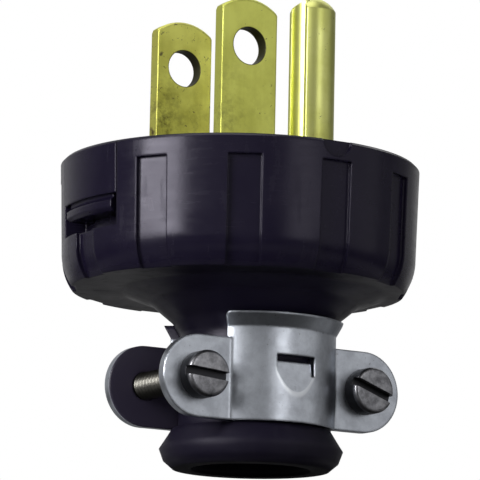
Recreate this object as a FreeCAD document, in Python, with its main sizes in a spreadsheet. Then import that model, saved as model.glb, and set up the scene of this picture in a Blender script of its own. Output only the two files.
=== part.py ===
import FreeCAD, Part
import math
import os
import re

import Sketcher

# Type B plug: a moulded body with a cord neck, a snap-in front cap, two flat blades and a troughed
# ground pin on a terminal block, and a two-half cord clamp drawn together by two slotted screws.
# The origin is on the cup's axis, level with the cord end, +Z runs to the blades, +X points to the
# ground pin, and -Y is the side of the clamp that holds the screw heads.

# Driving dimensions in millimetres and degrees; a depth is measured down from the front face,
# and the levels build up from the cord end
dimensions = {
    # cord ring and neck
    "ring_height": 1.95,
    "ring_top": 3.95,
    "ring_flange": 1.85,
    "ring_shoulder": 0.6,
    "ring_foot": 0.5,
    "ring_edge": 1.43,
    "ring_edge_height": 0.8,
    "neck_radius": 7.4,
    "neck_wall": 1.35,
    "neck_shift": 1.95,
    # moulded cup, outside
    "flare_rise": 3.05,
    "flare_reach": 5.25,
    "flare_turn_rise": 2.0,
    "flare_turn_reach": 2.4,
    "crease_depth": 12.75,
    "crease_inset": 1.4,
    "corner_radius": 5.65,
    "side_depth": 9.4,
    "side_draft": 0.3,
    "body_radius": 18.2,
    "rim_bevel": 0.3,
    # moulded cup, inside
    "body_wall": 2.2,
    "floor_thickness": 1.75,
    "ledge_width": 1.2,
    # recessed grip panels
    "panel_count": 12,
    "panel_width": 3.3,
    "panel_top": 2.0,
    "panel_depth": 0.5,
    # latch windows, and thumb notches in the rim
    "window_angle": 33.5,
    "latch_gap": 1.5,
    "thumb_radius": 1.65,
    "thumb_depth": 0.5,
    # front cap, its latch tongues and the terminal block under it
    "fit_gap": 0.1,
    "cap_thickness": 2.4,
    "block_thickness": 4.0,
    "tongue_hold": 1.2,
    "tongue_depth": 6.9,
    "tongue_lip": 1.7,
    "tongue_shoulder": 0.7,
    "tongue_groove": 0.35,
    # blades
    "blade_spacing": 12.7,
    "blade_offset": 3.5,
    "blade_width": 6.35,
    "blade_thickness": 1.4,
    "blade_length": 15.9,
    "blade_hole_radius": 1.9,
    "blade_hole_height": 11.0,
    "tip_drop": 1.1,
    "tip_bevel": 0.25,
    "foot_room": 0.5,
    "foot_margin": 1.0,
    # ground pin
    "pin_offset": 11.9,
    "pin_radius": 2.4,
    "pin_mouth": 1.7,
    "pin_trough": 1.25,
    "pin_length": 19.0,
    "nose_radius": 2.7,
    "pin_foot_length": 8.0,
    "pin_foot_width": 6.0,
    "pin_foot_sheet": 1.05,
    "pin_screw_reach": 4.8,
    # cord clamp
    "sheet_thickness": 1.0,
    "clamp_gap": 0.05,
    "strap_height": 9.35,
    "lip_height": 1.4,
    "lip_flare": 0.8,
    "lip_corner": 0.6,
    "ear_radius": 4.1,
    "ear_plane": 5.85,
    "bend_round": 0.5,
    "screw_room": 1.2,
    "tang_width": 4.4,
    "tang_rise": 2.85,
    "tang_height": 3.15,
    "tang_slot": 0.65,
    "tang_slit": 0.4,
    "tang_bite": 0.45,
    # clamp screws
    "clamp_thread_radius": 1.42,
    "clamp_thread_end": 1.0,
    "clamp_head_radius": 2.33,
    "clamp_head_height": 2.0,
    "clamp_slot_width": 0.85,
    "clamp_slot_depth": 0.9,
    "clamp_screw_gap": 0.15,
    "left_slot_turn": -5,
    "right_slot_turn": -20,
    # terminal screws
    "terminal_thread_room": 0.8,
    "terminal_head_radius": 2.9,
    "terminal_head_height": 1.6,
    "terminal_slot_width": 0.9,
    "terminal_slot_depth": 0.8,
}

doc = FreeCAD.newDocument("type_b_plug")
sheet = doc.addObject("Spreadsheet::Sheet", "dims")
for row, (alias, size) in enumerate(dimensions.items(), start=1):
    sheet.set(f"A{row}", alias.replace("_", " "))
    sheet.set(f"B{row}", str(size))
    sheet.setAlias(f"B{row}", alias)
doc.recompute()

# Levels above the cord end, as words of the sheet
strap_bottom = "(ring_top + fit_gap)"
ear_level = f"({strap_bottom} + ear_radius)"
lip_level = f"({strap_bottom} + strap_height)"
lip_top = f"({lip_level} + lip_height)"
tang_bottom = f"({strap_bottom} + tang_rise)"
tang_top = f"({tang_bottom} + tang_height)"
crease_level = f"({lip_top} + flare_rise)"
cavity_floor = f"({crease_level} + floor_thickness)"
face_level = f"({crease_level} + crease_depth)"
tab_depth = "(cap_thickness + block_thickness)"
block_bottom = f"({face_level} - {tab_depth})"
tongue_step = "(tongue_depth - tongue_lip)"

# Radii and places that several pieces share
bore_radius = "(neck_radius - neck_wall)"
crease_radius = "(body_radius - crease_inset)"
cavity_radius = "(body_radius - body_wall)"
ledge_radius = f"({cavity_radius} - ledge_width)"
insert_radius = f"({cavity_radius} - fit_gap)"
strap_inside = "(neck_radius + clamp_gap)"
strap_outside = f"({strap_inside} + sheet_thickness)"
ear_inside = "(ear_plane - sheet_thickness)"
screw_spread = f"({strap_outside} + screw_room)"
pin_centre = "(pin_offset - blade_offset)"
blade_outside = "(blade_spacing / 2 + blade_thickness / 2)"
foot_end = f"sqrt(({ledge_radius} - foot_room) ^ 2 - (blade_offset + blade_width / 2) ^ 2)"
foot_screw = f"(({foot_end} + {blade_outside}) / 2)"
terminal_hole = f"(({foot_end} - {blade_outside}) / 2 - foot_margin)"
terminal_thread_radius = f"({terminal_hole} - fit_gap)"
terminal_screw_length = "(block_thickness + blade_thickness - terminal_thread_room)"
clamp_screw_length = "(2 * ear_plane + clamp_thread_end)"
through_all = None

pieces = []


def bound(words):
    """The expression for words such as 'body_radius - rim_bevel', each name tied to its cell."""
    return re.sub(r"[a-z]+(?:_[a-z]+)+", r"dims.\g<0>", words)


def amount(words):
    """The number that such words stand for."""
    return float(sheet.evalExpression(bound(words)))


def new_body(label):
    body = doc.addObject("PartDesign::Body", label)
    body.Label = label
    pieces.append(body)
    return body


def origin_feature(body, role):
    return next(feature for feature in body.Origin.OriginFeatures if feature.Role == role)


def new_sketch(body, plane, name, lift=None):
    """A sketch on one of the body's own planes, lifted along that plane's normal."""
    sketch = body.newObject("Sketcher::SketchObject", name)
    sketch.AttachmentSupport = (origin_feature(body, plane), [""])
    sketch.MapMode = "FlatFace"
    if lift:
        sketch.setExpression("AttachmentOffset.Base.z", bound(lift))
    return sketch


def add_dimension(sketch, kind, *rest, words):
    index = sketch.addConstraint(Sketcher.Constraint(kind, *rest, amount(words)))
    sketch.setExpression(f"Constraints[{index}]", bound(words))


def fix_point(sketch, curve, end, across, up):
    """Ties a curve's end or centre to its distances from the sketch's origin."""
    origin_curve, origin_end = -1, 1
    for kind, words, axis in (("DistanceX", across, -2), ("DistanceY", up, -1)):
        if words == "0":
            sketch.addConstraint(Sketcher.Constraint("PointOnObject", curve, end, axis))
        else:
            add_dimension(sketch, kind, origin_curve, origin_end, curve, end, words=words)


def arc_between(start, finish, radius, turn):
    """The short arc from start to finish that turns left or right on its way."""
    chord = finish - start
    side = FreeCAD.Vector(-chord.y, chord.x, 0).normalize()
    if turn == "right":
        side = -side
    rise = math.sqrt(max(radius ** 2 - (chord.Length / 2) ** 2, 0))
    centre = (start + finish) / 2 + side * rise
    first, last = (start, finish) if turn == "left" else (finish, start)
    angles = [math.atan2(point.y - centre.y, point.x - centre.x) for point in (first, last)]
    return Part.ArcOfCircle(Part.Circle(centre, FreeCAD.Vector(0, 0, 1), radius), *angles)


def draw_outline(sketch, corners):
    """A closed outline; a corner is (across, up), or (across, up, radius, turn) where an arc leaves it."""
    points = [FreeCAD.Vector(amount(corner[0]), amount(corner[1]), 0) for corner in corners]
    runs = []
    for number, corner in enumerate(corners):
        start = points[number]
        finish = points[(number + 1) % len(points)]
        if len(corner) == 2:
            runs.append((sketch.addGeometry(Part.LineSegment(start, finish)), 1, 2))
            continue
        arc = arc_between(start, finish, amount(corner[2]), corner[3])
        ends = (1, 2) if corner[3] == "left" else (2, 1)
        runs.append((sketch.addGeometry(arc), *ends))
    for number, (curve, start_end, finish_end) in enumerate(runs):
        next_curve, next_start, _ = runs[(number + 1) % len(runs)]
        sketch.addConstraint(Sketcher.Constraint("Coincident", curve, finish_end, next_curve, next_start))
    for corner, (curve, start_end, _) in zip(corners, runs):
        fix_point(sketch, curve, start_end, corner[0], corner[1])
        if len(corner) > 2:
            add_dimension(sketch, "Radius", curve, words=corner[2])


def draw_box(sketch, left, right, bottom, top):
    draw_outline(sketch, [(left, bottom), (right, bottom), (right, top), (left, top)])


def draw_circle(sketch, across, up, radius):
    centre = FreeCAD.Vector(amount(across), amount(up), 0)
    curve = sketch.addGeometry(Part.Circle(centre, FreeCAD.Vector(0, 0, 1), amount(radius)))
    fix_point(sketch, curve, 3, across, up)
    add_dimension(sketch, "Radius", curve, words=radius)


def add_feature(body, kind, sketch):
    feature = body.newObject("PartDesign::" + kind, sketch.Name + "_" + kind.lower())
    feature.Profile = sketch
    return feature


def check_cut(body, before):
    """A cut that points away from the solid takes nothing off and shows no error."""
    doc.recompute()
    if not body.Shape.Volume < before:
        raise RuntimeError(body.Label + ": a cut took nothing away")


def pad(body, sketch, length, both_ways=False):
    feature = add_feature(body, "Pad", sketch)
    feature.setExpression("Length", bound(length))
    if both_ways:
        feature.SideType = "Symmetric"
    doc.recompute()
    return feature


def pocket(body, sketch, length=through_all, both_ways=False, along_normal=False):
    before = body.Shape.Volume
    feature = add_feature(body, "Pocket", sketch)
    if length is through_all:
        feature.Type = "ThroughAll"
    else:
        feature.setExpression("Length", bound(length))
    if both_ways:
        feature.SideType = "Symmetric"
    feature.Reversed = along_normal
    check_cut(body, before)
    return feature


def turn_about_z(body, sketch, kind="Revolution", angle="360"):
    """Turns the sketch about its upright axis, half of the angle to each side."""
    before = body.Shape.Volume if kind == "Groove" else None
    feature = add_feature(body, kind, sketch)
    feature.ReferenceAxis = (sketch, ["V_Axis"])
    feature.Midplane = True
    feature.setExpression("Angle", bound(angle))
    if before is None:
        doc.recompute()
    else:
        check_cut(body, before)
    return feature


def repeat_round(body, features, copies):
    pattern = body.newObject("PartDesign::PolarPattern", features[0].Name + "_round")
    pattern.Originals = features
    pattern.Axis = (origin_feature(body, "Z_Axis"), [""])
    pattern.Angle = 360
    pattern.setExpression("Occurrences", bound(copies))
    body.Tip = pattern
    doc.recompute()


def mirror_across(body, plane, features):
    mirror = body.newObject("PartDesign::Mirrored", features[0].Name + "_mirrored")
    mirror.Originals = features
    mirror.MirrorPlane = (origin_feature(body, plane), [""])
    body.Tip = mirror
    doc.recompute()


def dress_edges(body, kind, setting, words, chosen):
    """A fillet or chamfer on the edges of the tip that the chosen test picks."""
    tip = body.Tip
    names = [f"Edge{number}" for number, edge in enumerate(tip.Shape.Edges, start=1) if chosen(edge)]
    if not names:
        raise RuntimeError(body.Label + ": no edge to dress")
    feature = body.newObject("PartDesign::" + kind, body.Label + "_" + kind.lower())
    feature.Base = (tip, names)
    feature.setExpression(setting, bound(words))
    doc.recompute()


def place(body, x="0", y="0", z="0", rotation=FreeCAD.Rotation()):
    body.Placement = FreeCAD.Placement(FreeCAD.Vector(), rotation)
    for axis, words in zip("xyz", (x, y, z)):
        body.setExpression("Placement.Base." + axis, bound(words))


def side_radius(depth):
    """The drafted side's radius at a depth."""
    return f"(body_radius - side_draft * {depth} / side_depth)"


def below_face(depth):
    return f"({face_level} - ({depth}))"


def make_body_shell():
    body = new_body("body_shell")
    cup = new_sketch(body, "XZ_Plane", "cup_profile")
    draw_outline(cup, [
        ("0", crease_level),
        (crease_radius, crease_level, "corner_radius", "left"),
        ("body_radius - side_draft", below_face("side_depth")),
        ("body_radius", below_face("rim_bevel")),
        ("body_radius - rim_bevel", face_level),
        (cavity_radius, face_level),
        (cavity_radius, block_bottom),
        (ledge_radius, block_bottom),
        (ledge_radius, cavity_floor),
        ("0", cavity_floor),
    ])
    turn_about_z(body, cup)

    # The neck stands off the cup's axis, towards the ground pin, and flares into its underside
    flare_radius = "neck_radius + lip_flare + flare_reach"
    neck = new_sketch(body, "XZ_Plane", "neck_profile")
    neck.setExpression("AttachmentOffset.Base.x", bound("neck_shift"))
    draw_outline(neck, [
        ("0", "0"),
        ("neck_radius + ring_foot", "0"),
        ("neck_radius + ring_edge", "ring_edge_height"),
        ("neck_radius + ring_flange", "ring_height"),
        ("neck_radius + ring_shoulder", "ring_top"),
        ("neck_radius", "ring_top"),
        ("neck_radius", lip_level),
        ("neck_radius + lip_flare", lip_top),
        ("neck_radius + lip_flare + flare_turn_reach", f"{lip_top} + flare_turn_rise"),
        (flare_radius, crease_level),
        (flare_radius, f"{crease_level} + floor_thickness / 2"),
        ("0", f"{crease_level} + floor_thickness / 2"),
    ])
    turn_about_z(body, neck)
    bore = new_sketch(body, "XY_Plane", "cord_bore")
    draw_circle(bore, "neck_shift", "0", bore_radius)
    pocket(body, bore, along_normal=True)

    # Each panel is the side and the lower corner again, a panel's depth further in
    panel = new_sketch(body, "XZ_Plane", "grip_panel")
    draw_outline(panel, [
        (side_radius("panel_top") + " - panel_depth", below_face("panel_top")),
        ("body_radius - side_draft - panel_depth", below_face("side_depth"), "corner_radius", "right"),
        (f"{crease_radius} - panel_depth", crease_level),
        (f"{crease_radius} - panel_depth", f"{crease_level} - panel_depth"),
        ("body_radius + panel_depth", f"{crease_level} - panel_depth"),
        ("body_radius + panel_depth", below_face("panel_top")),
    ])
    cut = pocket(body, panel, "panel_width", both_ways=True)
    repeat_round(body, [cut], "panel_count")

    window = new_sketch(body, "XZ_Plane", "latch_window")
    draw_box(window, f"{cavity_radius} - 2 * fit_gap", "body_radius + body_wall",
             below_face("tongue_depth + latch_gap"), f"{face_level} + rim_bevel")
    groove = turn_about_z(body, window, "Groove", "window_angle")
    repeat_round(body, [groove], "2")

    thumb = new_sketch(body, "XZ_Plane", "thumb_notch", "body_radius - thumb_depth")
    draw_circle(thumb, "0", face_level, "thumb_radius")
    cut = pocket(body, thumb, along_normal=True)
    repeat_round(body, [cut], "2")

    # The clamp's tangs bite into the neck at the front and the rear
    bite = new_sketch(body, "YZ_Plane", "tang_bite", "neck_shift")
    draw_outline(bite, [
        ("-neck_radius - fit_gap", f"{tang_bottom} - tang_bite"),
        ("-neck_radius + tang_bite + fit_gap", f"{tang_top} + fit_gap"),
        ("-neck_radius - fit_gap", f"{tang_top} + fit_gap"),
    ])
    cut = pocket(body, bite, "tang_width + 2 * fit_gap", both_ways=True)
    mirror_across(body, "XZ_Plane", [cut])


def draw_terminal_openings(sketch):
    """Slots for the two blades and the round opening, flat at the mouth, for the ground pin."""
    half_width = "(blade_width / 2 + fit_gap)"
    half_thickness = "(blade_thickness / 2 + fit_gap)"
    for side in ("-", ""):
        middle = side + "blade_spacing / 2"
        draw_box(sketch, "-blade_offset - " + half_width, "-blade_offset + " + half_width,
                 middle + " - " + half_thickness, middle + " + " + half_thickness)
    radius = "(pin_radius + fit_gap)"
    mouth = "(pin_mouth + fit_gap)"
    mouth_half = f"sqrt({radius} ^ 2 - {mouth} ^ 2)"
    draw_outline(sketch, [
        (f"{pin_centre} - {mouth}", "-" + mouth_half, radius, "left"),
        (pin_centre, "-" + radius, radius, "left"),
        (f"{pin_centre} + {radius}", "0", radius, "left"),
        (pin_centre, radius, radius, "left"),
        (f"{pin_centre} - {mouth}", mouth_half),
    ])


def make_front_cap():
    body = new_body("front_cap")
    disc = new_sketch(body, "XY_Plane", "cap_disc", below_face("cap_thickness"))
    draw_circle(disc, "0", "0", insert_radius)
    pad(body, disc, "cap_thickness")

    # The tongue fills the window flush with the body's side
    tongue = new_sketch(body, "XZ_Plane", "tongue_upper")
    draw_outline(tongue, [
        (f"{cavity_radius} - tongue_hold", below_face("cap_thickness")),
        (cavity_radius, below_face("cap_thickness")),
        (cavity_radius, below_face(tongue_step)),
        (side_radius(tongue_step), below_face(tongue_step)),
        ("body_radius", below_face("rim_bevel")),
        ("body_radius - rim_bevel", face_level),
        (f"{cavity_radius} - tongue_hold", face_level),
    ])
    upper = turn_about_z(body, tongue, angle="window_angle - 2 * fit_gap / body_radius * 180 / pi")

    # Its narrower end has a groove and a bevelled lip
    lip = new_sketch(body, "XZ_Plane", "tongue_end")
    lip_radius = side_radius("tongue_depth")
    draw_outline(lip, [
        (cavity_radius, below_face("tongue_depth")),
        (lip_radius + " - tongue_groove", below_face("tongue_depth")),
        (lip_radius, below_face("tongue_depth - tongue_groove")),
        (lip_radius, below_face(tongue_step + " + 2 * tongue_groove")),
        (lip_radius + " - tongue_groove", below_face(tongue_step + " + tongue_groove")),
        (lip_radius + " - tongue_groove", below_face(tongue_step)),
        (cavity_radius, below_face(tongue_step)),
    ])
    lip_angle = "window_angle - 2 * (fit_gap + tongue_shoulder) / body_radius * 180 / pi"
    lower = turn_about_z(body, lip, angle=lip_angle)
    repeat_round(body, [upper, lower], "2")

    openings = new_sketch(body, "XY_Plane", "cap_openings", face_level)
    draw_terminal_openings(openings)
    pocket(body, openings)


def make_terminal_block():
    body = new_body("terminal_block")
    disc = new_sketch(body, "XY_Plane", "block_disc", block_bottom)
    draw_circle(disc, "0", "0", insert_radius)
    pad(body, disc, "block_thickness")

    openings = new_sketch(body, "XY_Plane", "block_openings", below_face("cap_thickness"))
    draw_terminal_openings(openings)
    pocket(body, openings)

    holes = new_sketch(body, "XY_Plane", "terminal_holes", block_bottom)
    draw_circle(holes, "-blade_offset", "-" + foot_screw, terminal_hole)
    draw_circle(holes, "-blade_offset", foot_screw, terminal_hole)
    draw_circle(holes, pin_centre + " - pin_screw_reach", "0", terminal_hole)
    pocket(body, holes, f"{terminal_screw_length} - pin_foot_sheet + fit_gap", along_normal=True)


def make_blade(label, y, rotation):
    """One sheet blade, bent outwards under the block into a foot for its wire screw."""
    body = new_body(label)
    bend = new_sketch(body, "YZ_Plane", label + "_bend")
    half = "blade_thickness / 2"
    foot_tip = f"blade_spacing / 2 - {foot_end}"
    draw_outline(bend, [
        (foot_tip, f"-{tab_depth} - blade_thickness"),
        (f"-{half}", f"-{tab_depth} - blade_thickness", "blade_thickness", "left"),
        (half, "-" + tab_depth),
        (half, "blade_length"),
        (f"-{half}", "blade_length"),
        (f"-{half}", "-" + tab_depth),
        (foot_tip, "-" + tab_depth),
    ])
    pad(body, bend, "blade_width", both_ways=True)

    tip_radius = "(blade_width ^ 2 / 4 + tip_drop ^ 2) / (2 * tip_drop)"
    tip = new_sketch(body, "XZ_Plane", label + "_tip")
    draw_outline(tip, [
        ("-blade_width / 2", "blade_length - tip_drop", tip_radius, "right"),
        ("blade_width / 2", "blade_length - tip_drop"),
        ("blade_width / 2", "blade_length + tip_drop"),
        ("-blade_width / 2", "blade_length + tip_drop"),
    ])
    draw_circle(tip, "0", "blade_hole_height", "blade_hole_radius")
    pocket(body, tip, both_ways=True)

    screw_hole = new_sketch(body, "XY_Plane", label + "_screw_hole")
    draw_circle(screw_hole, "0", f"blade_spacing / 2 - {foot_screw}", terminal_hole)
    pocket(body, screw_hole, both_ways=True)

    def on_tip(edge):
        return isinstance(edge.Curve, Part.Circle) and abs(edge.Curve.Radius - amount(tip_radius)) < 0.001

    dress_edges(body, "Chamfer", "Size", "tip_bevel", on_tip)
    place(body, "-blade_offset", y, face_level, rotation)


def make_ground_pin():
    """A round pin with a trough on the side towards the blades, staked on a flat foot."""
    body = new_body("ground_pin")
    mouth_half = "sqrt(pin_radius ^ 2 - pin_mouth ^ 2)"
    section = new_sketch(body, "XY_Plane", "pin_section", "-" + tab_depth)
    draw_outline(section, [
        ("-pin_mouth", "-" + mouth_half, "pin_radius", "left"),
        ("0", "-pin_radius", "pin_radius", "left"),
        ("pin_radius", "0", "pin_radius", "left"),
        ("0", "pin_radius", "pin_radius", "left"),
        ("-pin_mouth", mouth_half),
        ("-pin_mouth", "pin_trough", "pin_trough", "right"),
        ("-pin_mouth + pin_trough", "0", "pin_trough", "right"),
        ("-pin_mouth", "-pin_trough"),
    ])
    pad(body, section, tab_depth + " + pin_length")

    foot = new_sketch(body, "XY_Plane", "pin_foot", f"-{tab_depth} - pin_foot_sheet")
    draw_box(foot, "-pin_foot_length", "pin_radius", "-pin_foot_width / 2", "pin_foot_width / 2")
    draw_circle(foot, "-pin_screw_reach", "0", terminal_hole)
    pad(body, foot, "pin_foot_sheet")

    nose = new_sketch(body, "XZ_Plane", "pin_nose")
    draw_outline(nose, [
        ("0", "pin_length", "nose_radius", "right"),
        ("nose_radius", "pin_length - nose_radius"),
        ("nose_radius + pin_radius", "pin_length - nose_radius"),
        ("nose_radius + pin_radius", "pin_length + nose_radius"),
        ("0", "pin_length + nose_radius"),
    ])
    turn_about_z(body, nose, "Groove")
    place(body, x=pin_centre, z=face_level)


def make_clamp_half(label, hole_radius, rotation):
    """A pressed strap round the neck, with a flared lip, two round ears and a tang pressed inwards."""
    body = new_body(label)
    strap = new_sketch(body, "YZ_Plane", label + "_strap")
    draw_outline(strap, [
        ("-" + strap_outside, strap_bottom),
        ("-" + strap_inside, strap_bottom),
        ("-" + strap_inside, lip_level),
        (f"-{strap_inside} - lip_flare", lip_top),
        (f"-{strap_outside} - lip_flare", lip_top),
        ("-" + strap_outside, lip_level),
    ])
    turn_about_z(body, strap, angle=f"2 * acos({ear_inside} / {strap_inside})")

    ear = new_sketch(body, "XZ_Plane", label + "_ear", ear_inside)
    ear_root = f"sqrt({strap_inside} ^ 2 - {ear_inside} ^ 2)"
    draw_outline(ear, [
        (ear_root, strap_bottom),
        (screw_spread, strap_bottom, "ear_radius", "left"),
        (f"{screw_spread} + ear_radius", ear_level, "ear_radius", "left"),
        (screw_spread, f"{ear_level} + ear_radius"),
        (ear_root, f"{ear_level} + ear_radius"),
    ])
    draw_circle(ear, screw_spread, ear_level, hole_radius)
    right_ear = pad(body, ear, "sheet_thickness")
    mirror_across(body, "YZ_Plane", [right_ear])

    # The tang is the strap's own sheet, leaned inwards from its lower end to a slot above it
    inward = new_sketch(body, "YZ_Plane", label + "_tang_inward")
    draw_outline(inward, [
        (f"-{strap_inside} - sheet_thickness / 2", tang_bottom),
        ("-" + strap_inside, tang_bottom),
        (f"-{strap_inside} + tang_bite", tang_top),
        (f"-{strap_inside} - sheet_thickness / 2", tang_top),
    ])
    pad(body, inward, "tang_width", both_ways=True)
    outward = new_sketch(body, "YZ_Plane", label + "_tang_outward")
    draw_outline(outward, [
        (f"-{strap_outside} - tang_bite", tang_bottom),
        ("-" + strap_outside, tang_bottom),
        (f"-{strap_outside} + tang_bite", tang_top),
        (f"-{strap_outside} - tang_bite", tang_top),
    ])
    pocket(body, outward, "tang_width", both_ways=True)

    # The slot above the tang turns down its right edge as a slit
    slot = new_sketch(body, "XZ_Plane", label + "_tang_slot")
    draw_outline(slot, [
        ("tang_width / 2", f"{tang_top} + tang_slot"),
        ("-tang_width / 2", f"{tang_top} + tang_slot"),
        ("-tang_width / 2", tang_top),
        ("tang_width / 2 - tang_slit", tang_top),
        ("tang_width / 2 - tang_slit", f"{tang_top} - 2 * tang_slot"),
        ("tang_width / 2", f"{tang_top} - 2 * tang_slot"),
    ])
    pocket(body, slot, along_normal=True)

    top = amount(lip_top)
    sheet_edge = amount("sheet_thickness")

    def at_lip_corner(edge):
        level = all(abs(vertex.Z - top) < 0.001 for vertex in edge.Vertexes)
        return level and abs(edge.Length - sheet_edge) < 0.001

    dress_edges(body, "Fillet", "Radius", "lip_corner", at_lip_corner)

    bend_across = amount(f"sqrt({strap_outside} ^ 2 - ear_plane ^ 2)")
    bend_back = amount("ear_plane")

    def at_bend(edge):
        upright = abs(edge.tangentAt(edge.FirstParameter).z) > 0.999
        middle = edge.CenterOfMass
        return upright and abs(abs(middle.x) - bend_across) < 0.01 and abs(middle.y + bend_back) < 0.01

    dress_edges(body, "Fillet", "Radius", "bend_round", at_bend)
    place(body, x="neck_shift", rotation=rotation)


def make_screw(label, kind, radius, length, x, y, z, rotation):
    """A slotted screw; its origin is under the head, which points up before placing."""
    body = new_body(label)
    profile = new_sketch(body, "XZ_Plane", label + "_profile")
    draw_outline(profile, [
        ("0", "-" + length),
        (radius, "-" + length),
        (radius, "0"),
        (f"{kind}_head_radius", "0"),
        (f"{kind}_head_radius", f"{kind}_head_height"),
        ("0", f"{kind}_head_height"),
    ])
    turn_about_z(body, profile)
    slot = new_sketch(body, "YZ_Plane", label + "_slot")
    draw_box(slot, f"-{kind}_slot_width / 2", f"{kind}_slot_width / 2",
             f"{kind}_head_height - {kind}_slot_depth", f"{kind}_head_height + {kind}_slot_depth")
    pocket(body, slot, both_ways=True)
    place(body, x, y, z, rotation)


def about(axis, angle):
    return FreeCAD.Rotation(axis, angle)


x_axis = FreeCAD.Vector(1, 0, 0)
z_axis = FreeCAD.Vector(0, 0, 1)
as_made = FreeCAD.Rotation()
half_turn = about(z_axis, 180)
head_to_front = about(x_axis, 90)
head_down = about(x_axis, 180)

make_body_shell()
make_front_cap()
make_terminal_block()
make_blade("line_blade", "-blade_spacing / 2", as_made)
make_blade("neutral_blade", "blade_spacing / 2", half_turn)
make_ground_pin()
make_clamp_half("front_clamp_half", "clamp_thread_radius + clamp_screw_gap", as_made)
make_clamp_half("rear_clamp_half", "clamp_thread_radius", half_turn)
for side, across in (("left", "neck_shift - " + screw_spread), ("right", "neck_shift + " + screw_spread)):
    slot_turn = about(z_axis, amount(side + "_slot_turn"))
    make_screw(side + "_clamp_screw", "clamp", "clamp_thread_radius", clamp_screw_length,
               across, "-ear_plane", ear_level, head_to_front * slot_turn)
for wire, across, along, foot in (
    ("line", "-blade_offset", "-" + foot_screw, "blade_thickness"),
    ("neutral", "-blade_offset", foot_screw, "blade_thickness"),
    ("ground", pin_centre + " - pin_screw_reach", "0", "pin_foot_sheet"),
):
    make_screw(wire + "_terminal_screw", "terminal", terminal_thread_radius, terminal_screw_length,
               across, along, f"{block_bottom} - {foot}", head_down)
doc.recompute()

for item in doc.Objects:
    if "Invalid" in item.State or "Error" in item.State:
        raise RuntimeError(item.Label + " failed: " + ", ".join(item.State))
for piece in pieces:
    if piece.Shape.isNull() or not piece.Shape.isValid() or len(piece.Shape.Solids) != 1:
        raise RuntimeError(piece.Label + " is not one valid solid")

os.makedirs("parts", exist_ok=True)
for piece in pieces:
    piece.Shape.exportStep(f"parts/{piece.Label}.step")
    print(f"{piece.Label}: {piece.Shape.Volume:.1f} cubic millimetres")
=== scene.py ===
import math

import bpy
from mathutils import Matrix, Vector


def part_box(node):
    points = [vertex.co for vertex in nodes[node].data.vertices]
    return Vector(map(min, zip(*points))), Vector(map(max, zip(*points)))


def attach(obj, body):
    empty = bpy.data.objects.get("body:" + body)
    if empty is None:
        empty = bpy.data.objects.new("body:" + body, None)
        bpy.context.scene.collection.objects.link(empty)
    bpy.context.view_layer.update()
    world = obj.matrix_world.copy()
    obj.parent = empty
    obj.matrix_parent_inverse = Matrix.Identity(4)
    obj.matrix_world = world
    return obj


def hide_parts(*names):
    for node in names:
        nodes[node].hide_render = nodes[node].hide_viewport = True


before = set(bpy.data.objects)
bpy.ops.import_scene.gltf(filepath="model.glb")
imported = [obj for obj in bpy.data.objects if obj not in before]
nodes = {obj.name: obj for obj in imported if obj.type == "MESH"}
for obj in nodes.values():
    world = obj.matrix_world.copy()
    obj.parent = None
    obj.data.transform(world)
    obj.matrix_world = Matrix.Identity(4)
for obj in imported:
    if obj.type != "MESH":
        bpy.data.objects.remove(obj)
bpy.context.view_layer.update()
mm = 0.001
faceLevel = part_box("body_shell")[1].z
clampLow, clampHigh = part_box("front_clamp_half")
neckAxis = (clampLow.x + clampHigh.x) / 2  # across
print("frame loaded:", len(nodes), "nodes")


class Wire:  # one output socket; sums on it add Math nodes to its tree
    def __init__(self, tree, socket):
        self.tree = tree
        self.socket = socket

    def add(self, kind, settings=None, inputs=None, output=0):
        node = self.tree.nodes.new(kind)
        for name, value in (settings or {}).items():
            setattr(node, name, value)
        for name, value in (inputs or {}).items():
            if isinstance(value, Wire):
                self.tree.links.new(value.socket, node.inputs[name])
            else:
                node.inputs[name].default_value = value
        return Wire(self.tree, node.outputs[output])

    def sum(self, operation, first, second=0.0):
        return self.add("ShaderNodeMath", {"operation": operation}, {0: first, 1: second})

    def __add__(self, other):
        return self.sum("ADD", self, other)

    def __radd__(self, other):
        return self.sum("ADD", other, self)

    def __sub__(self, other):
        return self.sum("SUBTRACT", self, other)

    def __rsub__(self, other):
        return self.sum("SUBTRACT", other, self)

    def __mul__(self, other):
        return self.sum("MULTIPLY", self, other)

    def __rmul__(self, other):
        return self.sum("MULTIPLY", other, self)

    def __pow__(self, other):
        return self.sum("POWER", self, other)

    def __rpow__(self, other):
        return self.sum("POWER", other, self)

    def biggest(self, other):
        return self.sum("MAXIMUM", self, other)

    def below(self, limit):
        return self.sum("LESS_THAN", self, limit)

    def absolute(self):
        return self.sum("ABSOLUTE", self)

    def between(self, low, high):  # 0 below low, 1 above high, smooth between
        return self.add("ShaderNodeMapRange", {"interpolation_type": "SMOOTHSTEP"},
                        {"Value": self, "From Min": low, "From Max": high})

    def blend(self, vectorAtZero, vectorAtOne):
        return self.add("ShaderNodeMix", {"data_type": "VECTOR"},
                        {0: self, 4: vectorAtZero, 5: vectorAtOne}, output=1)

    def mix(self, colourAtZero, colourAtOne):
        return self.add("ShaderNodeMix", {"data_type": "RGBA"},
                        {0: self, 6: opaque(colourAtZero), 7: opaque(colourAtOne)}, output=2)


def opaque(colour):
    return colour if isinstance(colour, Wire) else (*colour, 1.0)


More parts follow.
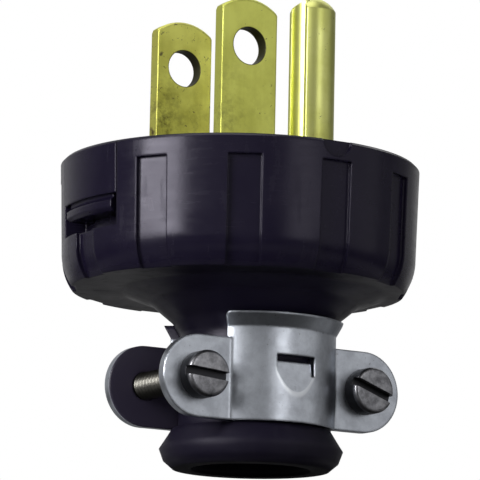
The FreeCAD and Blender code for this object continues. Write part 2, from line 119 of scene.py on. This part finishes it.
class Finish:  # a material on Object coordinates, with the patterns that several finishes share
    def __init__(self, name):
        self.material = bpy.data.materials.new(name)
        self.material.use_nodes = True
        self.tree = self.material.node_tree
        self.shader = self.tree.nodes["Principled BSDF"]
        self.start = Wire(self.tree, None)
        self.place = self.start.add("ShaderNodeTexCoord", output="Object")

    def stretched(self, scale):
        return self.start.add("ShaderNodeMapping", None, {"Vector": self.place, "Scale": scale})

    def noise(self, size, detail=3.0, roughness=0.55, place=None):
        return self.start.add("ShaderNodeTexNoise", None, {
            "Vector": place or self.place, "Scale": 1 / size, "Detail": detail, "Roughness": roughness})

    def coordinate(self, axis):
        return self.start.add("ShaderNodeSeparateXYZ", None, {"Vector": self.place}, output=axis)

    def softEdges(self, radius):
        return self.start.add("ShaderNodeBevel", {"samples": 6}, {"Radius": radius})

    def bump(self, height, strength, distance, normal=None):
        inputs = {"Height": height, "Strength": strength, "Distance": distance}
        if normal is not None:
            inputs["Normal"] = normal
        return self.start.add("ShaderNodeBump", None, inputs)

    def set(self, **values):
        names = {"colour": "Base Color", "roughness": "Roughness", "metallic": "Metallic",
                 "normal": "Normal", "specular": "Specular IOR Level", "tint": "Specular Tint"}
        for key, value in values.items():
            socket = self.shader.inputs[names[key]]
            if isinstance(value, Wire):
                self.tree.links.new(value.socket, socket)
            else:
                socket.default_value = opaque(value) if key in ("colour", "tint") else value

    def give(self, *names):
        for name in names:
            materials = nodes[name].data.materials
            materials.clear()
            materials.append(self.material)


# moulded rubber of the body and its cap; the neck's tapers are softened wider than the panels' edges
rubber = {
    "black": (0.0050, 0.0037, 0.0110),
    "worn": (0.0080, 0.0065, 0.0145),
    "roughness": 0.24,
    "specular": 0.25,
    "tint": (0.90, 0.86, 1.0),  # of the gloss
    "patchSize": 5 * mm,
    "patchEdge": (0.35, 0.7),
    "patchWear": 0.6,
    "patchRoughness": 0.2,
    "scuffSize": 1.2 * mm,
    "scuffStretch": (1, 1, 0.18),
    "scuffEdge": (0.56, 0.7),
    "scuffWear": 0.3,
    "scuffRoughness": 0.08,
    "brushSize": 0.35 * mm,
    "brushStretch": (0.12, 0.12, 1),
    "brushRoughness": 0.18,
    "brushHeight": 0.5,  # beside the grain's
    "grainSize": 0.25 * mm,
    "grainDepth": 0.012 * mm,
    "grainStrength": 0.35,
    "edgeRadius": 0.28 * mm,
    "neckEdgeRadius": 1.1 * mm,
    "neckReach": (14.3 * mm, 15.3 * mm),  # from the neck's axis
    "dullFace": (faceLevel - 0.1 * mm, faceLevel - 0.05 * mm, 0.55),  # heights, and the roughness added
    "dullBelow": {
        "cup": (17.9 * mm, 18.5 * mm, 0.13),
        "ring": (4.5 * mm, 6.5 * mm, 0.15),
        "cordEnd": (0.1 * mm, 0.5 * mm, 0.3),
    },
}
capRubber = {**rubber, "roughness": 0.23}


def makeRubber(name, look):
    finish = Finish(name)
    patches = finish.noise(look["patchSize"], detail=4)
    scuffs = finish.noise(look["scuffSize"], detail=5, place=finish.stretched(look["scuffStretch"]))
    scuffs = scuffs.between(*look["scuffEdge"])
    brushed = finish.noise(look["brushSize"], detail=4, place=finish.stretched(look["brushStretch"]))
    grain = finish.noise(look["grainSize"])
    worn = patches.between(*look["patchEdge"]) * look["patchWear"] + scuffs * look["scuffWear"]
    rough = look["roughness"] + (patches - 0.5) * look["patchRoughness"]
    rough = rough + (brushed - 0.5) * look["brushRoughness"] + scuffs * look["scuffRoughness"]
    up = finish.coordinate("Z")
    low, high, added = look["dullFace"]
    rough = rough + up.between(low, high) * added
    for low, high, added in look["dullBelow"].values():
        rough = rough + (1 - up.between(low, high)) * added
    across = finish.coordinate("X") - neckAxis
    fromNeck = (across ** 2 + finish.coordinate("Y") ** 2) ** 0.5
    edges = fromNeck.between(*look["neckReach"]).blend(
        finish.softEdges(look["neckEdgeRadius"]), finish.softEdges(look["edgeRadius"]))
    height = grain + brushed * look["brushHeight"]
    finish.set(
        colour=worn.mix(look["black"], look["worn"]),
        roughness=rough,
        specular=look["specular"],
        tint=look["tint"],
        normal=finish.bump(height, look["grainStrength"], look["grainDepth"], edges),
    )
    return finish


makeRubber("mouldedRubber", rubber).give("body_shell")
makeRubber("mouldedCap", capRubber).give("front_cap")

# insulation of the terminal block
insulation = {
    "dark": (0.030, 0.030, 0.034),
    "pale": (0.055, 0.055, 0.060),
    "roughness": 0.55,
    "grainSize": 0.4 * mm,
    "grainDepth": 0.02 * mm,
    "grainStrength": 0.2,
    "grainRoughness": 0.15,
}


def makeInsulation(look):
    finish = Finish("insulation")
    grain = finish.noise(look["grainSize"], detail=4)
    finish.set(
        colour=grain.mix(look["dark"], look["pale"]),
        roughness=look["roughness"] + grain * look["grainRoughness"],
        normal=finish.bump(grain, look["grainStrength"], look["grainDepth"]),
    )
    return finish


makeInsulation(insulation).give("terminal_block")

# rolled brass of the blades and the pin; the far blade is the most tarnished, the pin the most rubbed
brass = {
    "clean": (0.80, 0.83, 0.20),
    "dull": (0.62, 0.63, 0.13),
    "tarnish": (0.09, 0.065, 0.03),
    "dark": (0.02, 0.016, 0.025),
    "roughness": 0.4,
    "dullRoughness": 0.12,
    "stainRoughness": 0.2,
    "cloudSize": 3.2 * mm,
    "cloudEdge": (0.35, 0.65),
    "cloudDulls": 0.5,
    "streakSize": 0.5 * mm,
    "streakStretch": (1, 1, 0.05),
    "streakDulls": 0.35,
    "grainSize": 0.12 * mm,
    "grainDepth": 0.012 * mm,
    "grainStrength": 0.25,
    "grainHeight": 0.6,  # beside the streaks'
    "speckSize": 0.55 * mm,
    "speckEdge": (0.66, 0.70),
    "speckStain": 0.85,
    "speckCover": 0.5,  # of the bare metal
    "lowBelow": (1 * mm, 13 * mm),  # above the face
    "lowDulls": 0.2,
    "outerBelow": (-6.4 * mm, -3.2 * mm),  # across
    "blotchSize": 1.5 * mm,
    "blotchEdge": (0.42, 0.68),
    "blotchLow": 0.4,
    "blotchOuter": 0.9,
    "blotches": 0.35,
    "holeCentre": (-3.5 * mm, faceLevel + 11 * mm),  # across and up
    "holeWall": (1.92 * mm, 1.99 * mm),  # from there
    "holeDark": 0.9,
    "edgeRadius": 0.22 * mm,
}
agedBrass = {
    **brass,
    "clean": (0.85, 0.85, 0.21),
    "dull": (0.58, 0.56, 0.115),
    "speckEdge": (0.61, 0.66),
    "blotches": 0.9,
}
rubbedBrass = {
    **brass,
    "clean": (0.85, 0.87, 0.32),
    "dull": (0.64, 0.66, 0.17),
    "roughness": 0.34,
    "blotches": 0.25,
    "edgeRadius": 0.14 * mm,
}


def makeBrass(name, look):
    finish = Finish(name)
    clouds = finish.noise(look["cloudSize"], detail=5).between(*look["cloudEdge"])
    streaks = finish.noise(look["streakSize"], place=finish.stretched(look["streakStretch"]))
    grain = finish.noise(look["grainSize"], detail=2)
    specks = finish.noise(look["speckSize"], detail=5, roughness=0.7).between(*look["speckEdge"])
    blotches = finish.noise(look["blotchSize"], detail=6, roughness=0.7).between(*look["blotchEdge"])
    # tarnish gathers low on the blade, towards its outer edge
    across, up = finish.coordinate("X"), finish.coordinate("Z")
    low = 1 - (up - faceLevel).between(*look["lowBelow"])
    outer = 1 - across.between(*look["outerBelow"])
    blotches = blotches * (low * look["blotchLow"] + low * outer * look["blotchOuter"])
    stains = (specks * look["speckStain"]).biggest(blotches * look["blotches"])
    dull = clouds * look["cloudDulls"] + streaks * look["streakDulls"] + low * look["lowDulls"]
    metal = stains.mix(dull.mix(look["clean"], look["dull"]), look["tarnish"])
    # the inner wall of the blade's hole is darkened almost to black
    holeAcross, holeUp = look["holeCentre"]
    fromHole = ((across - holeAcross) ** 2 + (up - holeUp) ** 2) ** 0.5
    wall = 1 - fromHole.between(*look["holeWall"])
    height = streaks + grain * look["grainHeight"]
    edges = finish.softEdges(look["edgeRadius"])
    finish.set(
        colour=(wall * look["holeDark"]).mix(metal, look["dark"]),
        metallic=1 - specks * look["speckCover"],
        roughness=look["roughness"] + dull * look["dullRoughness"] + stains * look["stainRoughness"],
        normal=finish.bump(height, look["grainStrength"], look["grainDepth"], edges),
    )
    return finish


makeBrass("rolledBrass", brass).give("line_blade")
makeBrass("agedBrass", agedBrass).give("neutral_blade")
makeBrass("rubbedBrass", rubbedBrass).give("ground_pin")

# zinc plating of the clamp and its screws
zinc = {
    "bright": (0.71, 0.75, 0.82),
    "dull": (0.46, 0.485, 0.54),
    "stain": (0.16, 0.16, 0.17),
    "roughness": 0.27,
    "mottleSize": 1.4 * mm,
    "mottleEdge": (0.3, 0.7),
    "mottleDulls": 0.6,
    "mottleRoughness": 0.14,
    "mottleHeight": 0.8,  # beside the grain's
    "cloudSize": 3.8 * mm,
    "cloudEdge": (0.35, 0.65),
    "cloudDulls": 0.35,
    "spotSize": 0.5 * mm,
    "spotEdge": (0.62, 0.72),
    "spotStain": 0.5,
    "grainSize": 0.15 * mm,
    "grainDepth": 0.02 * mm,
    "grainStrength": 0.3,
    "edgeRadius": 0.32 * mm,
}


def makeZinc(name, look, dress):  # dress paints light into the colour, a highlight on the front half and shade on the rear half and the screws, and gives the metallic share
    finish = Finish(name)
    mottle = finish.noise(look["mottleSize"], detail=6, roughness=0.65)
    clouds = finish.noise(look["cloudSize"]).between(*look["cloudEdge"])
    spots = finish.noise(look["spotSize"], detail=5, roughness=0.7).between(*look["spotEdge"])
    grain = finish.noise(look["grainSize"])
    dull = mottle.between(*look["mottleEdge"]) * look["mottleDulls"] + clouds * look["cloudDulls"]
    metal = (spots * look["spotStain"]).mix(dull.mix(look["bright"], look["dull"]), look["stain"])
    colour, metalShare = dress(finish, look, metal, mottle)
    height = grain + mottle * look["mottleHeight"]
    edges = finish.softEdges(look["edgeRadius"])
    finish.set(
        colour=colour,
        metallic=metalShare,
        roughness=look["roughness"] + mottle * look["mottleRoughness"],
        normal=finish.bump(height, look["grainStrength"], look["grainDepth"], edges),
    )
    return finish


# front half of the clamp, with a painted highlight where the tang's leaning plane comes out of the strap's
# round
frontClamp = {
    **zinc,
    # colour of the painted highlight along the tang's outline
    "paintedHighlight": (0.92, 0.95, 1.0),
    "highlightLeast": 0.35,
    "highlightMottle": 0.6,
    "highlightWidth": (0.015 * mm, 0.08 * mm),  # from the tang's plane
    "highlightDepth": (0.03 * mm, 0.005 * mm),  # below the strap's round
    "tangRise": 2.85 * mm,
    "tangHeight": 3.15 * mm,
    "tangBite": 0.45 * mm,
    "tangReach": 2.35 * mm,
    "lipFlare": 0.8 * mm,
}


# paints a highlight along the tang's outline, where its plane leaves the strap's round
def paintTangHighlight(finish, look, metal, mottle):
    strapRadius = -clampLow.y - look["lipFlare"]
    lean = look["tangBite"] / look["tangHeight"]
    across, along = finish.coordinate("X") - neckAxis, finish.coordinate("Y")
    rise = finish.coordinate("Z") - clampLow.z - look["tangRise"]
    fromPlane = (along + strapRadius - rise * lean).absolute()
    fromAxis = (across ** 2 + along ** 2) ** 0.5
    onStrap = fromAxis.between(*(strapRadius - depth for depth in look["highlightDepth"]))
    near = across.absolute().below(look["tangReach"]) * rise.below(look["tangHeight"]) * along.below(0)
    paintedHighlight = (1 - fromPlane.between(*look["highlightWidth"])) * onStrap * near
    paintedHighlight = paintedHighlight * (look["highlightLeast"] + mottle * look["highlightMottle"])
    return paintedHighlight.mix(metal, look["paintedHighlight"]), 1.0


makeZinc("zincClamp", frontClamp, paintTangHighlight).give("front_clamp_half")

# rear half of the clamp, with painted shade on its inner faces and the ends of its lip
rearClamp = {
    **zinc,
    # colour of the painted shade on the inner faces and the lip's ends
    "paintedShade": (0.030, 0.025, 0.045),
    "unshadedFrom": (4.95 * mm, 5.15 * mm),  # along
    "lipFrom": (13.1 * mm, 13.4 * mm),  # up
    "lipUnshadedFrom": (6.5 * mm, 8 * mm),  # along
}


# paints shade on the inner faces and the ends of the lip; the metal is metallic only outside it
def paintInsideShade(finish, look, metal, mottle):
    along, up = finish.coordinate("Y"), finish.coordinate("Z")
    lipEnd = up.between(*look["lipFrom"]) * (1 - along.between(*look["lipUnshadedFrom"]))
    metalShare = along.between(*look["unshadedFrom"]) * (1 - lipEnd)
    return metalShare.mix(look["paintedShade"], metal), metalShare


makeZinc("paintedShadeZincClamp", rearClamp, paintInsideShade).give("rear_clamp_half")

# slotted clamp screws, with the thread that shows between the ears
clampScrew = {
    **zinc,
    "bright": (0.47, 0.47, 0.50),
    "dull": (0.10, 0.10, 0.11),
    "mottleSize": 0.8 * mm,
    "edgeRadius": 0.1 * mm,
    "paintedShade": (0.045, 0.045, 0.05),  # painted shade, in the slot and round the head's side
    "paintedShadeFrom": (0.3 * mm, 0.65 * mm),  # below the head's top
    "shank": (0.145, 0.14, 0.125),
    "shankFrom": (-5.6 * mm, -5.2 * mm),  # along
    "headRadius": 2.33 * mm,
    "headHeight": 2.0 * mm,
    "headEdge": 0.4 * mm,
    "headEdgeSteps": 5,
    "headSides": 64,
    "slotWidth": 0.85 * mm,
    "slotDepth": 0.9 * mm,
    "slotTurn": {"left": -5, "right": -20},  # degrees
    "threadRadius": 1.42 * mm,
    "threadSteps": 28,  # in a turn
    "pitch": 0.635 * mm,
    "ridge": 0.29 * mm,  # height of the thread, and half its width
    "ridgeClear": 0.9,  # share of it that stands out of the shank
    "shankSides": 40,
    "smoothBelow": 35,  # degrees
}


# paints shade in the slot and round the head's side, and gives the thread its own colour
def paintScrewShade(finish, look, metal, mottle):
    along = finish.coordinate("Y")
    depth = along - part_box("left_clamp_screw")[0].y
    metal = depth.between(*look["paintedShadeFrom"]).mix(metal, look["paintedShade"])
    return along.between(*look["shankFrom"]).mix(metal, look["shank"]), 1.0


def deselect():
    bpy.ops.object.select_all(action="DESELECT")


def pick(kind, test):  # edit mode: selects only the vertices or edges whose every corner passes the test
    bpy.ops.mesh.select_all(action="DESELECT")
    bpy.ops.mesh.select_mode(type=kind)
    bpy.ops.object.mode_set(mode="OBJECT")
    mesh = bpy.context.object.data
    if kind == "VERT":
        for corner in mesh.vertices:
            corner.select = test(corner.co)
    else:
        for edge in mesh.edges:
            edge.select = all(test(mesh.vertices[corner].co) for corner in edge.vertices)
    bpy.ops.object.mode_set(mode="EDIT")


def applyModifier(piece, kind, **settings):
    modifier = piece.modifiers.new(kind.lower(), kind)
    for name, value in settings.items():
        setattr(modifier, name, value)
    bpy.ops.object.modifier_apply(modifier=modifier.name)


def makeHead(look, turn):  # stands on the level 0, slot up
    deselect()
    middle = look["headHeight"] / 2
    bpy.ops.mesh.primitive_cylinder_add(
        vertices=look["headSides"], radius=look["headRadius"], depth=look["headHeight"],
        location=(0, 0, middle))
    head = bpy.context.object
    bpy.ops.object.transform_apply(location=True)
    bpy.ops.object.mode_set(mode="EDIT")
    pick("EDGE", lambda place: place.z > middle)
    bpy.ops.mesh.bevel(offset=look["headEdge"], segments=look["headEdgeSteps"], affect="EDGES")
    bpy.ops.object.mode_set(mode="OBJECT")

    deselect()
    bpy.ops.mesh.primitive_cube_add(
        size=1, location=(0, 0, look["headHeight"]), rotation=(0, 0, math.radians(turn)),
        scale=(look["headRadius"] * 3, look["slotWidth"], look["slotDepth"] * 2))
    cutter = bpy.context.object
    deselect()
    head.select_set(True)
    bpy.context.view_layer.objects.active = head
    applyModifier(head, "BOOLEAN", operation="DIFFERENCE", object=cutter, solver="EXACT")
    bpy.data.objects.remove(cutter)
    return head


def makeShank(look, length):  # hangs down from the level 0
    deselect()
    radius = look["threadRadius"] - look["ridge"] * look["ridgeClear"]
    middle = -length / 2
    bpy.ops.mesh.primitive_cylinder_add(
        vertices=look["shankSides"], radius=radius, depth=length, location=(0, 0, middle))
    shank = bpy.context.object
    bpy.ops.object.transform_apply(location=True)
    bpy.ops.object.mode_set(mode="EDIT")
    pick("EDGE", lambda place: place.z < middle)
    bpy.ops.mesh.bevel(offset=look["ridge"], segments=2, affect="EDGES")
    bpy.ops.object.mode_set(mode="OBJECT")
    return shank


def makeThread(look, length):  # a square on its corner, cut to a triangle and wound up the shank
    deselect()
    middle = look["threadRadius"] - look["ridge"]
    bpy.ops.mesh.primitive_plane_add(
        size=look["ridge"] * math.sqrt(2), location=(middle, 0, -length + look["pitch"]),
        rotation=(math.radians(90), math.radians(45), 0))
    thread = bpy.context.object
    bpy.ops.object.transform_apply(location=True, rotation=True)
    bpy.ops.object.mode_set(mode="EDIT")
    pick("VERT", lambda place: place.x < middle - look["ridge"] / 2)
    bpy.ops.mesh.delete(type="VERT")
    pick("VERT", lambda place: place.x < middle + look["ridge"] / 2)
    bpy.ops.mesh.edge_face_add()
    bpy.ops.object.mode_set(mode="OBJECT")
    turns = int(length / look["pitch"]) - 1
    applyModifier(
        thread, "SCREW", axis="Z", screw_offset=look["pitch"], iterations=turns,
        steps=look["threadSteps"], render_steps=look["threadSteps"],
        use_merge_vertices=False, use_smooth_shade=False)
    bpy.ops.object.mode_set(mode="EDIT")
    bpy.ops.mesh.select_all(action="DESELECT")
    bpy.ops.mesh.select_mode(type="EDGE")
    bpy.ops.mesh.select_non_manifold()
    bpy.ops.mesh.fill_holes(sides=4)
    bpy.ops.mesh.select_all(action="SELECT")
    bpy.ops.mesh.normals_make_consistent(inside=False)
    bpy.ops.object.mode_set(mode="OBJECT")
    return thread


def makeClampScrew(side, look, finish):
    node = side + "_clamp_screw"
    lowest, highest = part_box(node)
    length = highest.y - lowest.y - look["headHeight"]
    head = makeHead(look, look["slotTurn"][side])
    parts = [makeShank(look, length), makeThread(look, length), head]
    deselect()
    for part in parts:
        part.select_set(True)
    bpy.context.view_layer.objects.active = head
    bpy.ops.object.join()
    head.name = side + "ClampScrew"
    head.rotation_euler = (math.radians(90), 0, 0)  # head towards -Y
    centre = (lowest + highest) / 2
    head.location = (centre.x, lowest.y + look["headHeight"], centre.z)
    bpy.ops.object.transform_apply(location=True, rotation=True)
    bpy.ops.object.shade_smooth_by_angle(angle=math.radians(look["smoothBelow"]))
    head.data.materials.clear()
    head.data.materials.append(finish.material)
    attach(head, "root")
    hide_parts(node)


screwFinish = makeZinc("zincScrew", clampScrew, paintScrewShade)
for side in ("left", "right"):
    makeClampScrew(side, clampScrew, screwFinish)
print("clamp screws modelled")

# wire screws under the block
wireScrew = {
    "colours": {
        "line_terminal_screw": (0.55, 0.47, 0.16),
        "neutral_terminal_screw": (0.58, 0.57, 0.54),
        "ground_terminal_screw": (0.035, 0.26, 0.075),
    },
    "shade": 0.6,  # of the colour, where it is dull
    "roughness": 0.28,
    "mottleSize": 0.8 * mm,
    "mottleEdge": (0.35, 0.7),
    "mottleDepth": 0.02 * mm,
    "mottleStrength": 0.15,
    "mottleRoughness": 0.2,
}


def makeWireScrew(name, colour, look):
    finish = Finish(name + "Finish")
    mottle = finish.noise(look["mottleSize"], detail=4)
    dark = tuple(part * look["shade"] for part in colour)
    finish.set(
        colour=mottle.between(*look["mottleEdge"]).mix(colour, dark),
        metallic=1.0,
        roughness=look["roughness"] + mottle * look["mottleRoughness"],
        normal=finish.bump(mottle, look["mottleStrength"], look["mottleDepth"]),
    )
    return finish


for screw, colour in wireScrew["colours"].items():
    makeWireScrew(screw, colour, wireScrew).give(screw)
print("finishes given:", len(bpy.data.materials))

# camera of the photograph, with its angles in degrees
photoCamera = {
    "distance": 347.0 * mm,
    "drop": 69.25 * mm,  # below the front face
    "turn": 31.5,  # towards the latch
    "pitch": 10.117,
    "roll": 1.19,
    "sensor": 36,
    "lens": 261.2,
    "shift": 0.0027,  # aside, in widths of the picture
    "nearest": 10 * mm,
}


def aim(camera, look):
    pitch, roll, turn = (math.radians(look[key]) for key in ("pitch", "roll", "turn"))
    forward = Vector((0, math.cos(pitch), math.sin(pitch)))
    right = Vector((1, 0, 0))
    up = right.cross(forward)
    tiltedRight = right * math.cos(roll) + up * math.sin(roll)
    tiltedUp = up * math.cos(roll) - right * math.sin(roll)
    facing = Matrix((tiltedRight, tiltedUp, -forward)).transposed().to_4x4()
    spot = Matrix.Translation((0, -look["distance"], faceLevel - look["drop"]))
    camera.matrix_world = Matrix.Rotation(-turn, 4, "Z") @ spot @ facing


bpy.ops.object.camera_add()
camera = bpy.context.object
camera.data.sensor_width = photoCamera["sensor"]
camera.data.lens = photoCamera["lens"]
camera.data.shift_x = photoCamera["shift"]
camera.data.clip_start = photoCamera["nearest"]
aim(camera, photoCamera)
bpy.context.scene.camera = camera

# white studio: in gloss, a backdrop behind the plug and to its left, a dim room round the camera and
# darkness below; the floor shows from above only, because the photograph looks up past its edge
studio = {
    "ambient": 0.38,
    "roomGloss": 0.15,
    "backdropGloss": 0.46,
    "backdropTurn": 165,  # degrees to the left of the camera, as seen from the plug
    "backdropEdge": (0.42, 1.0),  # cosines at which the backdrop starts and is full
    "horizon": (-0.25, 0.05),  # heights between which the gloss darkens
    "belowGloss": 0.1,
    "floorGloss": 0.25,
    "floorNear": (-0.56, -0.46),  # heights of a direction past the plug's own shadow on the floor
    "floorFar": (-0.36, -0.27),  # and at the floor's far end
    "floorSize": 3.0,
    "floorDrop": 0.1 * mm,
    "floorColour": (0.82, 0.82, 0.82),
    "floorRoughness": 0.9,
    "floorSpecular": 0.1,
}


def outward(azimuth, elevation):  # a direction from the plug, in degrees to the right of the camera
    angle = math.radians(azimuth - photoCamera["turn"])
    rise = math.radians(elevation)
    return Vector((math.sin(angle) * math.cos(rise), -math.cos(angle) * math.cos(rise), math.sin(rise)))


def makeWorld(look):
    world = bpy.data.worlds.new("studioWorld")
    bpy.context.scene.world = world
    world.use_nodes = True
    start = Wire(world.node_tree, None)
    seen, glossy, through = (start.add("ShaderNodeLightPath", output=name)
                             for name in ("Is Camera Ray", "Is Glossy Ray", "Is Transmission Ray"))
    direction = start.add("ShaderNodeTexCoord", output="Generated")
    height = start.add("ShaderNodeSeparateXYZ", None, {"Vector": direction}, "Z")
    behind = start.add("ShaderNodeVectorMath", {"operation": "DOT_PRODUCT"},
                       {0: direction, 1: outward(-look["backdropTurn"], 0)}, "Value")
    backdrop = behind.between(*look["backdropEdge"])
    above = height.between(*look["horizon"])
    gloss = look["roomGloss"] + backdrop * (look["backdropGloss"] - look["roomGloss"])
    gloss = gloss * (look["belowGloss"] + above * (1 - look["belowGloss"]))
    floor = height.between(*look["floorNear"]) * (1 - height.between(*look["floorFar"]))
    gloss = gloss + floor * look["floorGloss"]
    room = look["ambient"] + glossy * (gloss - look["ambient"])
    white = seen.biggest(through)
    background = world.node_tree.nodes["Background"]
    background.inputs["Color"].default_value = (1, 1, 1, 1)
    world.node_tree.links.new((room + white * (1 - room)).socket, background.inputs["Strength"])


def makeFloor(look):
    deselect()
    bpy.ops.mesh.primitive_plane_add(size=look["floorSize"], location=(0, 0, -look["floorDrop"]))
    floor = bpy.context.object
    floor.name = "floor"
    finish = Finish("paleFloor")
    finish.set(
        colour=look["floorColour"],
        roughness=look["floorRoughness"],
        specular=look["floorSpecular"],
    )
    underside = finish.start.add("ShaderNodeNewGeometry", output="Backfacing")
    glossy = finish.start.add("ShaderNodeLightPath", output="Is Glossy Ray")
    clear = finish.start.add("ShaderNodeBsdfTransparent")
    surface = Wire(finish.tree, finish.shader.outputs[0])
    hidden = underside.biggest(glossy)
    shown = finish.start.add("ShaderNodeMixShader", None, {0: hidden, 1: surface, 2: clear})
    output = finish.tree.nodes["Material Output"]
    finish.tree.links.new(shown.socket, output.inputs["Surface"])
    floor.data.materials.append(finish.material)


makeWorld(studio)
makeFloor(studio)

# soft panels, placed by the same angles and sized in metres
lamps = {
    "keyPanel": {"azimuth": -50, "elevation": 19, "distance": 0.55, "size": (0.25, 0.29), "radiance": 15.5},
    "frontPanel": {"azimuth": -8, "elevation": 16, "distance": 0.60, "size": (0.44, 0.34), "radiance": 0.18},
    "fillPanel": {"azimuth": 40, "elevation": 16, "distance": 0.60, "size": (0.19, 0.40), "radiance": 1.6},
    "sidePanel": {"azimuth": 75, "elevation": 14, "distance": 0.60, "size": (0.50, 0.44), "radiance": 0.34},
    "topPanel": {"azimuth": -90, "elevation": 80, "distance": 0.60, "size": (0.40, 0.40), "radiance": 1.5},
    "rearPanel": {"azimuth": 165, "elevation": 48, "distance": 0.60, "size": (0.40, 0.30), "radiance": 1.0},
}


def hangLamp(name, look):
    data = bpy.data.lights.new(name, "AREA")
    data.shape = "RECTANGLE"
    data.size, data.size_y = look["size"]
    data.energy = look["radiance"] * math.pi * data.size * data.size_y
    lamp = bpy.data.objects.new(name, data)
    bpy.context.scene.collection.objects.link(lamp)
    away = outward(look["azimuth"], look["elevation"])
    lamp.location = Vector((0, 0, faceLevel / 2)) + away * look["distance"]
    lamp.rotation_euler = away.to_track_quat("Z", "Y").to_euler()


for name, look in lamps.items():
    hangLamp(name, look)
bpy.context.scene.view_settings.view_transform = "Standard"
print("camera and lamps set")
